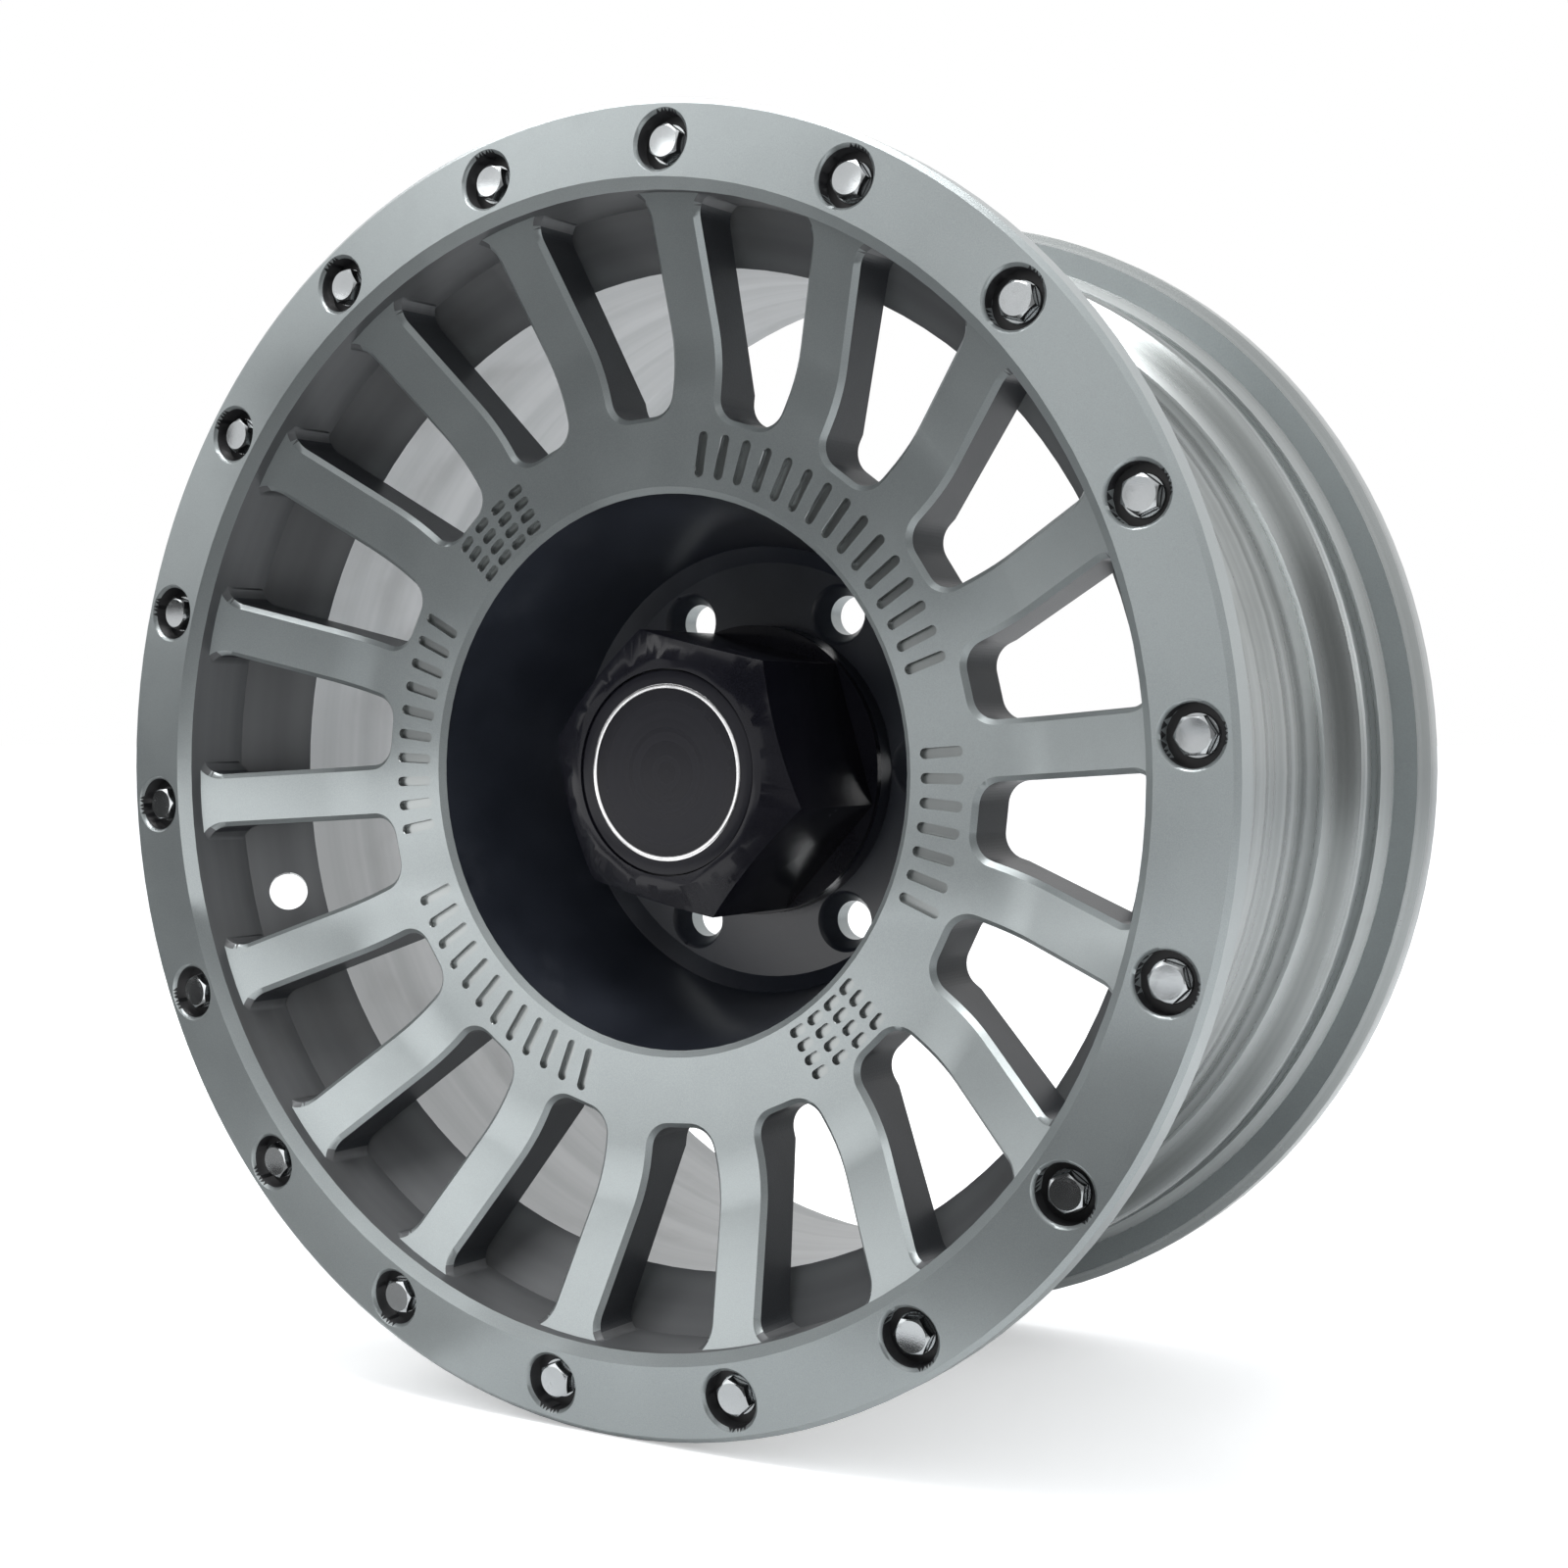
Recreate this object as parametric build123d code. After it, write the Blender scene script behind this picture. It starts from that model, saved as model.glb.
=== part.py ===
from build123d import *
from math import atan2, cos, degrees, radians, sin, tan
import os

# A one-piece cast off-road wheel, 17 x 8 in, with a ring of bolts round its outboard lip, eighteen
# straight spokes, a deep hub bowl for six lug nuts, and a push-in hexagonal centre cap.
# Millimetres. The wheel spins about Y, its street side looks along -Y, and the origin is the middle
# of its box. Depths run inboard from the front edge of the lip ring. Clock angles run from +Z
# towards +X, which is clockwise as seen from the street side.

# Tyre side of the rim
rim_width = 203.2  # between the two tyre flanges, 8 in
bead_seat_radius = 218.3  # at the heel, 17 in nominal
bead_seat_length = 17.0
bead_seat_taper = 5.0  # degrees
heel_bevel = 4.0
hump_height = 1.3
hump_length = 6.0
flange_height = 17.3  # inboard flange above its bead seat
flange_thickness = 12.8
flange_bevel = 4.0
well_radius = 196.5
well_slope = 45.0  # degrees, of the outboard side of the drop centre
well_slope_wall = 10.0
back_ramp_radius = 205.0  # tyre side of the barrel where the inboard ramp starts
back_ramp_length = 8.0
barrel_wall = 6.5

# Lip ring
lip_height = 23.7  # outside of the ring above the bead seat
lip_depth = 17.0  # from its front edge to the outboard tyre flange
lip_fall = 2.4  # the ring's face leans back this much towards its outside
lip_edge_bevel = 2.0
lip_back_bevel = 3.0
lip_inner_bevel = 4.0
lip_wall = 6.8  # of the rim inside the outboard bead seat, where the spokes run in

# Lip bolts and their pockets, square to the ring's face
lip_bolt_count = 18
lip_bolt_clock = 6.3
pocket_radius = 10.5
pocket_depth = 7.0
pocket_bevel = 1.2
bolt_flats = 12.0  # across the head's flats
bolt_head_height = 5.4
bolt_head_bevel = 1.2

# Spokes and windows
spoke_width = 21.5
spoke_front_depth = 9.0  # of the spoke's front where it meets the ring's wall
spoke_thickness = 22.0  # there, along the axis
spoke_root_thickness = 25.0  # at the hub
window_root = 10.6  # windows reach this far inside the edge of the hub's flat face
window_inner_rounding = 9.0
window_outer_rounding = 8.0
window_bevel = 1.9
spoke_end_overlap = 4.5  # spokes sink this far into the ring
spoke_blank_margin = 4.0
window_end_overlap = 0.6

# Hub bowl and mounting pad
hub_face_depth = 36.7
hub_face_radius = 144.0  # flat as far as here, then the spokes start to rise
spoke_blend_run = 11.0  # from there to where the flat and the rising faces would cross
bowl_radius = 105.0
bowl_edge_bevel = 2.0
bowl_floor_radius = 88.0
bowl_floor_depth = 112.0
bowl_floor_bevel = 5.0
hub_wall = 9.5
hub_root_height = 19.0  # from the bowl's edge out to where the spoke backs start
pad_thickness = 15.6
pad_radius = 85.0
pad_land = 5.0
hub_bore_radius = 53.05
hub_bore_bevel = 1.5

# Lug holes, with conical seats that open into the bowl
lug_count = 6
lug_circle_radius = 69.85  # half of 139.7
lug_clock = 28.5
lug_hole_radius = 7.75
lug_seat_radius = 12.25
lug_seat_angle = 60.0  # degrees, full cone
lug_pocket_width = 19.0  # lightening pockets between the lugs, on the pad's back
lug_pocket_half_span = 10.0  # degrees, of the pocket's middle line
lug_pocket_depth = 6.0

# Valve hole through the sloping side of the drop centre
valve_clock = 255.0
valve_hole_radius = 7.85
valve_seat_radius = 11.5
valve_seat_wall = 5.0

# Centre cap
cap_boss_height = 8.0  # ring round the bore that the cap stands on
cap_boss_wall = 4.5
cap_clock = 43.0  # of one corner
cap_flange_thickness = 3.0
cap_corner_radius = 57.0
cap_wall = 3.0
cap_height = 64.0  # from its seat to its face
cap_face_radius = 43.0
cap_shoulder_angle = 28.0  # degrees, of the cone that trims the corners
cap_top_wall = 3.0
cap_leg_count = 6
cap_leg_gap = 14.0  # slots between the legs
cap_leg_wall = 3.0
cap_leg_clearance = 0.4
cap_leg_length = 9.0
cap_groove_start = 4.5  # from the boss's front
cap_groove_length = 5.0
cap_groove_depth = 1.5
cap_barb_height = 1.5
cap_barb_length = 2.4
cap_barb_clearance = 0.3

# Disc in the cap's face, and the split ring that springs the legs outwards
emblem_radius = 38.8
emblem_thickness = 2.0
emblem_clearance = 0.4
emblem_sink = 0.6  # below the cap's face
spring_thickness = 1.8
spring_width = 2.2
spring_gap = 9.0
spring_seat_depth = 0.6
spring_clearance = 0.05
spring_setback = 1.5  # of its front from the boss's front

edge_tolerance = 0.01  # for telling which edges lie in a face
hexagon_sides = 6
hexagon_flat = cos(radians(180 / hexagon_sides))  # half width across flats for a corner radius of 1

overall_width = lip_depth + rim_width + flange_thickness
front_y = -overall_width / 2
back_flange_depth = lip_depth + rim_width
lip_radius = bead_seat_radius + lip_height
flange_radius = bead_seat_radius + flange_height
seat_end_radius = bead_seat_radius - bead_seat_length * tan(radians(bead_seat_taper))
face_opening_radius = seat_end_radius - lip_wall
mount_depth = bowl_floor_depth + pad_thickness
boss_depth = bowl_floor_depth - cap_boss_height
boss_radius = hub_bore_radius + cap_boss_wall
spoke_back_depth = hub_face_depth + spoke_root_thickness
hub_root_radius = bowl_radius + hub_root_height
spoke_rise_radius = hub_face_radius + spoke_blend_run
spoke_front_slope = (hub_face_depth - spoke_front_depth) / (face_opening_radius - spoke_rise_radius)
window_inner_radius = hub_face_radius - window_root
half_pitch = 180 / lip_bolt_count
cap_face_depth = boss_depth - cap_height
cap_leg_outer = hub_bore_radius - cap_leg_clearance
cap_leg_inner = cap_leg_outer - cap_leg_wall

# Face of the lip ring, from its inner to its outer edge, and the slope of the drop centre
lip_face_inner = face_opening_radius + lip_inner_bevel
lip_face_outer = lip_radius - lip_edge_bevel
lip_bolt_circle = (lip_face_inner + lip_face_outer) / 2
lip_lean = degrees(atan2(lip_fall, lip_face_outer - lip_face_inner))
slope_run = 1 / tan(radians(well_slope))  # depth for each millimetre of radius
slope_top_depth = lip_depth + bead_seat_length + hump_length
well_start_depth = slope_top_depth + (seat_end_radius - well_radius) * slope_run
slope_wall_depth = well_slope_wall / sin(radians(well_slope))


def inner_slope_depth(radius):
    # Depth of the drop centre's sloping side, on the brake side
    return slope_top_depth - slope_wall_depth + (seat_end_radius - radius) * slope_run


def turned(*corners):
    # A solid turned about the wheel's axis from (radius, depth) corners
    points = [(radius, front_y + depth) for radius, depth in corners]
    return revolve(make_face(Polyline(*points, close=True)), Axis.Y)


def turned_band(inner_radius, outer_radius, start_depth, end_depth):
    return turned(
        (inner_radius, start_depth),
        (outer_radius, start_depth),
        (outer_radius, end_depth),
        (inner_radius, end_depth),
    )


def disc_plane(depth):
    # Plane across the axis: its x is +Z, its y is +X and it looks inboard
    return Plane(origin=(0, front_y + depth, 0), x_dir=(0, 0, 1), z_dir=(0, 1, 0))


def at_clock(angle, shape):
    return Rot(0, angle, 0) * shape


def around(count, start, shape):
    return [at_clock(start + step * 360 / count, shape) for step in range(count)]


def leaning_plane(radius, depth, lean):
    # Plane at clock angle 0 that looks inboard, leaning by an angle towards the axis
    inboard = (0, cos(radians(lean)), -sin(radians(lean)))
    return Plane(origin=(0, front_y + depth, radius), x_dir=(1, 0, 0), z_dir=inboard)


def post(plane, start, end, radius):
    # A round post along a plane's normal
    return plane * Pos(0, 0, (start + end) / 2) * Cylinder(radius, end - start)


lip_plane = leaning_plane(lip_bolt_circle, lip_fall / 2, lip_lean)


def rim():
    inner_seat_radius = seat_end_radius - barrel_wall
    well_inner_radius = well_radius - barrel_wall
    hump_radius = seat_end_radius + hump_height
    front_hump_depth = lip_depth + bead_seat_length
    back_hump_depth = back_flange_depth - bead_seat_length
    ramp_top_depth = back_hump_depth - hump_length
    ramp_depth = ramp_top_depth - back_ramp_length
    blank = turned(
        (lip_face_inner, 0),
        (lip_face_outer, lip_fall),
        (lip_radius, lip_fall + lip_edge_bevel),
        (lip_radius, lip_depth - lip_back_bevel),
        (lip_radius - lip_back_bevel, lip_depth),
        (bead_seat_radius + heel_bevel, lip_depth),
        (bead_seat_radius, lip_depth + heel_bevel),
        (seat_end_radius, front_hump_depth),
        (hump_radius, front_hump_depth + hump_length / 2),
        (seat_end_radius, slope_top_depth),
        (well_radius, well_start_depth),
        (back_ramp_radius, ramp_depth),
        (seat_end_radius, ramp_top_depth),
        (hump_radius, back_hump_depth - hump_length / 2),
        (seat_end_radius, back_hump_depth),
        (bead_seat_radius, back_flange_depth - heel_bevel),
        (bead_seat_radius + heel_bevel, back_flange_depth),
        (flange_radius - flange_bevel, back_flange_depth),
        (flange_radius, back_flange_depth + flange_bevel),
        (flange_radius, overall_width),
        (inner_seat_radius, overall_width),
        (inner_seat_radius, ramp_top_depth),
        (back_ramp_radius - barrel_wall, ramp_depth),
        (well_inner_radius, inner_slope_depth(well_inner_radius)),
        (face_opening_radius, inner_slope_depth(face_opening_radius)),
        (face_opening_radius, lip_inner_bevel),
    )
    return blank - around(lip_bolt_count, lip_bolt_clock, lip_pocket())


def lip_pocket():
    # Flat-bottomed pocket for a bolt head, bevelled at its mouth
    mouth = lip_plane * Cone(
        pocket_radius + 2 * pocket_bevel, pocket_radius, 2 * pocket_bevel
    )
    return mouth + post(lip_plane, -pocket_bevel, pocket_depth, pocket_radius)


def spoke_blank():
    # A bar at clock angle 0, wider than a spoke: flat on the hub, then rising to the lip ring
    end = face_opening_radius + spoke_end_overlap
    rim_back_depth = spoke_front_depth + spoke_thickness
    back_slope = (spoke_back_depth - rim_back_depth) / (face_opening_radius - hub_face_radius)
    blend_radius = spoke_blend_run / tan(atan2(spoke_front_slope, 1) / 2)
    corners = [
        (hub_root_radius, hub_face_depth),
        (spoke_rise_radius, hub_face_depth),
        (end, spoke_front_depth - spoke_end_overlap * spoke_front_slope),
        (end, rim_back_depth - spoke_end_overlap * back_slope),
        (hub_face_radius, spoke_back_depth),
        (hub_root_radius, spoke_back_depth),
    ]
    points = [(radius, front_y + depth) for radius, depth in corners]
    side = FilletPolyline(*points, radius=[0, blend_radius, 0, 0, 0, 0], close=True)
    side_plane = Plane(origin=(0, 0, 0), x_dir=(0, 0, 1), z_dir=(-1, 0, 0))
    half_width = spoke_width / 2 + window_outer_rounding + spoke_blank_margin
    return extrude(side_plane * make_face(side), amount=half_width, both=True)


def window():
    # Opening at clock angle 0, between two spokes of even width
    lean = radians(half_pitch)
    outer_radius = face_opening_radius + window_end_overlap

    def half_width(along):
        return along * tan(lean) - spoke_width / 2 / cos(lean)

    near = half_width(window_inner_radius)
    far = half_width(outer_radius)
    wedge = Polyline(
        (window_inner_radius, -near),
        (outer_radius, -far),
        (outer_radius, far),
        (window_inner_radius, near),
        close=True,
    )
    outline = make_face(wedge) & Circle(outer_radius)
    outline = fillet(outline.vertices().sort_by(Axis.X)[:2], window_inner_rounding)
    outline = fillet(outline.vertices().sort_by(Axis.X)[-2:], window_outer_rounding)
    return extrude(disc_plane(0) * outline, amount=spoke_back_depth + hub_wall)


def window_front_edges(spoked):
    # The straight rising edges of the spokes' front faces
    def rises_in_front(edge):
        ends = [edge.position_at(0), edge.position_at(1)]
        middle = edge.position_at(0.5)
        clock = degrees(atan2(middle.X, middle.Z)) - lip_bolt_clock
        beside = radians((clock + half_pitch) % (2 * half_pitch) - half_pitch)
        along = Vector(middle.X, 0, middle.Z).length * cos(beside)
        front_depth = hub_face_depth - (along - spoke_rise_radius) * spoke_front_slope
        in_front = abs(middle.Y - front_y - front_depth) < edge_tolerance
        return in_front and abs(ends[0].Y - ends[1].Y) > edge_tolerance

    return spoked.edges().filter_by(GeomType.LINE).filter_by(rises_in_front)


def centre():
    # Hub bowl, mounting pad and spokes
    groove_radius = hub_bore_radius + cap_groove_depth
    groove_depth = boss_depth + cap_groove_start
    bowl_lean = (bowl_radius - bowl_floor_radius) / (bowl_floor_depth - hub_face_depth)
    hub = turned(
        (hub_bore_radius + hub_bore_bevel, mount_depth),
        (pad_radius, mount_depth),
        (pad_radius, mount_depth - pad_land),
        (bowl_floor_radius + hub_wall, bowl_floor_depth),
        (hub_root_radius, spoke_back_depth),
        (hub_face_radius, spoke_back_depth),
        (hub_face_radius, hub_face_depth),
        (bowl_radius + bowl_edge_bevel, hub_face_depth),
        (bowl_radius - bowl_edge_bevel * bowl_lean, hub_face_depth + bowl_edge_bevel),
        (bowl_floor_radius + bowl_floor_bevel * bowl_lean, bowl_floor_depth - bowl_floor_bevel),
        (bowl_floor_radius - bowl_floor_bevel, bowl_floor_depth),
        (boss_radius, bowl_floor_depth),
        (boss_radius, boss_depth),
        (hub_bore_radius, boss_depth),
        (hub_bore_radius, groove_depth),
        (groove_radius, groove_depth),
        (groove_radius, groove_depth + cap_groove_length),
        (hub_bore_radius, groove_depth + cap_groove_length),
        (hub_bore_radius, mount_depth - hub_bore_bevel),
    )
    window_clock = lip_bolt_clock + half_pitch
    spoked = hub + around(lip_bolt_count, lip_bolt_clock, spoke_blank())
    spoked -= around(lip_bolt_count, window_clock, window())
    return chamfer(window_front_edges(spoked), window_bevel)


def lug_hole():
    # Straight hole with a conical nut seat, and room for a socket above it
    seat_depth = (lug_seat_radius - lug_hole_radius) / tan(radians(lug_seat_angle / 2))
    hole = turned(
        (0, boss_depth),
        (lug_seat_radius, boss_depth),
        (lug_seat_radius, bowl_floor_depth),
        (lug_hole_radius, bowl_floor_depth + seat_depth),
        (lug_hole_radius, mount_depth + pad_land),
        (0, mount_depth + pad_land),
    )
    return Pos(0, 0, lug_circle_radius) * hole


def lug_pocket():
    # Lightening pocket at clock angle 0, on the pad's back
    middle_line = CenterArc(
        (0, 0), lug_circle_radius, -lug_pocket_half_span, 2 * lug_pocket_half_span
    )
    outline = SlotArc(middle_line, lug_pocket_width)
    return extrude(disc_plane(mount_depth) * outline, amount=-lug_pocket_depth)


def valve_hole():
    # Hole square to the slope, with a flat seat for the valve's collar on the tyre side
    radius = (face_opening_radius + well_radius - barrel_wall) / 2
    slope = leaning_plane(radius, inner_slope_depth(radius), well_slope - 90)
    reach = 3 * well_slope_wall
    hole = post(slope, -well_slope_wall, reach, valve_hole_radius)
    seat = post(slope, valve_seat_wall, reach, valve_seat_radius)
    return at_clock(valve_clock, hole + seat)


def wheel():
    pocket_clock = lug_clock + 180 / lug_count
    cuts = around(lug_count, lug_clock, lug_hole())
    cuts += around(lug_count, pocket_clock, lug_pocket())
    cuts.append(valve_hole())
    return rim() + centre() - cuts


def lip_bolt():
    # Hexagon bolt head, standing on the floor of its pocket
    foot = lip_plane * Pos(0, 0, pocket_depth)
    corner_radius = bolt_flats / 2 / hexagon_flat
    head = extrude(foot * RegularPolygon(corner_radius, hexagon_sides), amount=-bolt_head_height)
    top = head.faces().sort_by(Axis.Y)[0]
    return chamfer(top.edges(), bolt_head_bevel)


def hexagon(corner_radius, start_depth, end_depth):
    outline = disc_plane(start_depth) * RegularPolygon(corner_radius, hexagon_sides)
    return extrude(outline, amount=end_depth - start_depth)


def center_cap():
    # Hexagonal column with its corners trimmed by a cone, hollow, on a round foot with sprung legs
    shoulder_rise = tan(radians(cap_shoulder_angle))
    shoulder_depth = cap_face_depth + (cap_corner_radius - cap_face_radius) * shoulder_rise
    recess_floor = cap_face_depth + emblem_sink + emblem_thickness
    top_inside = recess_floor + cap_top_wall
    inner_corner = cap_corner_radius - cap_wall / hexagon_flat
    foot_front = boss_depth - cap_flange_thickness
    leg_end = boss_depth + cap_leg_length
    barb_depth = boss_depth + cap_groove_start + cap_barb_clearance
    barb_radius = cap_leg_outer + cap_barb_height

    trim = turned(
        (0, cap_face_depth),
        (cap_face_radius, cap_face_depth),
        (cap_face_radius + cap_height / shoulder_rise, boss_depth),
        (0, boss_depth),
    )
    body = hexagon(cap_corner_radius, cap_face_depth, boss_depth) & trim
    body -= hexagon(inner_corner, shoulder_depth, boss_depth)
    body -= turned_band(0, cap_face_radius - cap_wall, top_inside, shoulder_depth)
    body -= turned_band(0, emblem_radius + emblem_clearance, cap_face_depth, recess_floor)
    foot = turned_band(inner_corner * hexagon_flat, boss_radius, foot_front, boss_depth)
    legs = turned(
        (cap_leg_inner, foot_front),
        (cap_leg_outer, foot_front),
        (cap_leg_outer, barb_depth),
        (barb_radius, barb_depth),
        (barb_radius, barb_depth + cap_barb_length),
        (cap_leg_outer - cap_leg_clearance, leg_end),
        (cap_leg_inner, leg_end),
    )
    slot = Pos(0, front_y + boss_depth + cap_leg_length, boss_radius) * Box(
        cap_leg_gap, 2 * cap_leg_length, boss_radius
    )
    legs -= around(cap_leg_count, 0, slot)
    seat_front = boss_depth + spring_setback - spring_clearance
    seat_back = boss_depth + spring_setback + spring_width + spring_clearance
    seat = turned_band(
        cap_leg_inner - spring_thickness, cap_leg_inner + spring_seat_depth, seat_front, seat_back
    )
    return at_clock(cap_clock, body + foot + legs - seat)


def spring_ring():
    # Split ring, let into the inside of the cap's legs
    outer_radius = cap_leg_inner + spring_seat_depth - spring_clearance
    front = boss_depth + spring_setback
    ring = turned_band(outer_radius - spring_thickness, outer_radius, front, front + spring_width)
    gap = Pos(0, front_y + front, outer_radius) * Box(
        spring_gap, 4 * spring_width, 4 * spring_thickness
    )
    return at_clock(cap_clock, ring - gap)


def emblem_disc():
    # Plain disc, standing on the floor of the recess in the cap's face
    front = cap_face_depth + emblem_sink
    return turned_band(0, emblem_radius, front, front + emblem_thickness)


os.makedirs("parts", exist_ok=True)
export_step(wheel(), "parts/wheel.step")
lip_bolts = Compound(children=around(lip_bolt_count, lip_bolt_clock, lip_bolt()))
export_step(lip_bolts, "parts/lip_bolts.step")
export_step(center_cap(), "parts/center_cap.step")
export_step(emblem_disc(), "parts/cap_emblem_disc.step")
export_step(spring_ring(), "parts/cap_spring_ring.step")
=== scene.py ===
import bmesh
import bpy
import math
from mathutils import Matrix, Vector


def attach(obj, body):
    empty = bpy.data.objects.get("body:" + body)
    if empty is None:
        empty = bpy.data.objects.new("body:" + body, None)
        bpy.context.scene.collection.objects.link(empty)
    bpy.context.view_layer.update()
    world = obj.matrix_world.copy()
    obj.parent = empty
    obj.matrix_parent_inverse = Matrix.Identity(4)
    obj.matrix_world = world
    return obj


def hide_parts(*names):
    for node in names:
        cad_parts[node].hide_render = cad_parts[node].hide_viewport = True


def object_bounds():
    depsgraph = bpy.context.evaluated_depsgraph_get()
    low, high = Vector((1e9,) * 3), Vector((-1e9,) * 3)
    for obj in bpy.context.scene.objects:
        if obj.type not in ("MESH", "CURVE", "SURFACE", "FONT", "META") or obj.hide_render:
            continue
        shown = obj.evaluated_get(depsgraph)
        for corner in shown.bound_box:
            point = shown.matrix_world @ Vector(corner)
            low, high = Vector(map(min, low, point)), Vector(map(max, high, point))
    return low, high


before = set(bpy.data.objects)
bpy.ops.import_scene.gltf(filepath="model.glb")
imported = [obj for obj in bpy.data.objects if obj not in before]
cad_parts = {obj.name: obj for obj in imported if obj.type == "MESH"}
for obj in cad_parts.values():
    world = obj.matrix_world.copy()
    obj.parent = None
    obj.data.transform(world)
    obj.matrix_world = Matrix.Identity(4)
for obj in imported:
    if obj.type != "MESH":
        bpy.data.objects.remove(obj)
cadLow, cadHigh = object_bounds()
print("frame loaded, CAD box", tuple(cadLow), tuple(cadHigh))

mm = 0.001
scene = bpy.context.scene
frontY = cadLow.y  # front edge of the lip ring: depths run inboard from here
standZ = cadLow.z  # the wheel stands on its lip ring


# Helpers for new objects, meshes and node trees

def newPiece(name, data):
    piece = bpy.data.objects.new(name, data)
    scene.collection.objects.link(piece)
    return piece


def pointed(piece, place, way):
    # Sets a camera or lamp at a place, looking along a way
    piece.location = place
    piece.rotation_mode = "QUATERNION"
    piece.rotation_quaternion = way.to_track_quat("-Z", "Y")


def meshFrom(shape, name):
    # A finished bmesh as a mesh of its own
    mesh = bpy.data.meshes.new(name)
    shape.to_mesh(mesh)
    shape.free()
    return mesh


def bareNodes(holder):
    # The emptied node tree of a world or a material
    holder.use_nodes = True
    holder.node_tree.nodes.clear()
    return holder.node_tree.nodes, holder.node_tree.links


# Camera at the photo's place: yaw from straight ahead towards +X, pitch above the axle

cameraSet = {
    "eye": (0.5133, -0.8242, 0.0178),
    "yaw": 31.634,
    "pitch": 1.397,
    "lens": 55.28,
    "sensor": 36.0,
    "near": 0.01,
    "far": 100.0,
}


def lookBack(yaw, pitch):
    turn = math.radians(yaw)
    rise = math.radians(pitch)
    level = math.cos(rise)
    return Vector((math.sin(turn) * level, -math.cos(turn) * level, math.sin(rise)))


def makeCamera(values):
    data = bpy.data.cameras.new("photoCamera")
    data.lens = values["lens"]
    data.sensor_width = values["sensor"]
    data.clip_start = values["near"]
    data.clip_end = values["far"]
    camera = newPiece("photoCamera", data)
    pointed(camera, values["eye"], -lookBack(values["yaw"], values["pitch"]))
    scene.camera = camera


makeCamera(cameraSet)
print("camera set")


# Light, world and floor

lightSet = {
    "worldUp": (0.86, 0.88, 0.90),
    "worldDown": (0.20, 0.20, 0.205),
    "worldRamp": (-0.5, 0.6),
    "lamps": (
        # name, place, aim, size x, size y, watts
        ("topBox", (-0.15, -0.42, 1.60), (0.0, -0.10, -0.05), 1.1, 0.6, 18.0),
        ("edgeBox", (-1.00, 0.05, 1.45), (0.0, -0.05, 0.0), 0.5, 0.5, 6.0),
        ("spokeBox", (-0.85, -0.90, 0.95), (0.0, -0.09, -0.17), 0.7, 0.5, 2.0),
        ("rightStrip", (1.35, 0.35, 0.75), (0.15, 0.0, 0.0), 0.14, 1.1, 5.0),
    ),
    "cards": (
        # dark and bright cards that only reflections show: name, place, aim, size x, size y, level
        ("underCard", (-0.20, -0.38, -0.05), (-0.20, -0.38, 1.0), 0.75, 0.50, 0.04),
        ("topCard", (-0.08, -0.19, 0.125), (-0.08, 0.0, 0.125), 0.36, 0.13, 0.06),
        ("lowCard", (0.14, -0.25, -0.175), (0.16, 0.0, -0.165), 0.24, 0.13, 0.06),
        ("leftCard", (-0.52, -0.32, -0.08), (-0.22, -0.12, -0.05), 0.32, 0.34, 0.06),
        ("floorCard", (-0.30, -0.29, -0.236), (-0.30, -0.29, 1.0), 0.40, 0.32, 0.40),
        ("frontCard", (0.95, -1.20, 0.1), (0.0, 0.0, 0.1), 2.0, 1.6, 0.32),
        ("glowCard", (-0.09, -0.26, -0.13), (-0.02, 0.0, -0.10), 0.26, 0.10, 1.9),
        ("spokeCard", (-0.13, -0.20, -0.05), (-0.02, 0.0, -0.12), 0.22, 0.10, 2.0),
    ),
}

floorSet = {"radius": 30.0, "segments": 64, "color": (0.90, 0.90, 0.90), "glow": 0.36}


def makeWorld(values):
    # The camera and reflections see plain white, the rest is lit by a soft fall from up to down
    world = bpy.data.worlds.new("studio")
    scene.world = world
    nodes, links = bareNodes(world)
    output = nodes.new("ShaderNodeOutputWorld")
    soft = nodes.new("ShaderNodeBackground")
    white = nodes.new("ShaderNodeBackground")
    white.inputs["Color"].default_value = (1.0, 1.0, 1.0, 1.0)
    white.inputs["Strength"].default_value = 1.0
    coords = nodes.new("ShaderNodeTexCoord")
    split = nodes.new("ShaderNodeSeparateXYZ")
    ramp = nodes.new("ShaderNodeMapRange")
    ramp.interpolation_type = "SMOOTHSTEP"
    ramp.inputs["From Min"].default_value = values["worldRamp"][0]
    ramp.inputs["From Max"].default_value = values["worldRamp"][1]
    blend = nodes.new("ShaderNodeMix")
    blend.data_type = "RGBA"
    blend.inputs["A"].default_value = (*values["worldDown"], 1.0)
    blend.inputs["B"].default_value = (*values["worldUp"], 1.0)
    path = nodes.new("ShaderNodeLightPath")
    seen = nodes.new("ShaderNodeMath")
    seen.operation = "MAXIMUM"
    mix = nodes.new("ShaderNodeMixShader")
    links.new(coords.outputs["Generated"], split.inputs["Vector"])
    links.new(split.outputs["Z"], ramp.inputs["Value"])
    links.new(ramp.outputs["Result"], blend.inputs["Factor"])
    links.new(blend.outputs["Result"], soft.inputs["Color"])
    links.new(path.outputs["Is Camera Ray"], seen.inputs[0])
    links.new(path.outputs["Is Glossy Ray"], seen.inputs[1])
    links.new(seen.outputs[0], mix.inputs["Fac"])
    links.new(soft.outputs[0], mix.inputs[1])
    links.new(white.outputs[0], mix.inputs[2])
    links.new(mix.outputs[0], output.inputs["Surface"])


def makeLamp(name, place, aim, sizeX, sizeY, watts):
    data = bpy.data.lights.new(name, "AREA")
    data.shape = "RECTANGLE"
    data.size = sizeX
    data.size_y = sizeY
    data.energy = watts
    pointed(newPiece(name, data), place, Vector(aim) - Vector(place))


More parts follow.
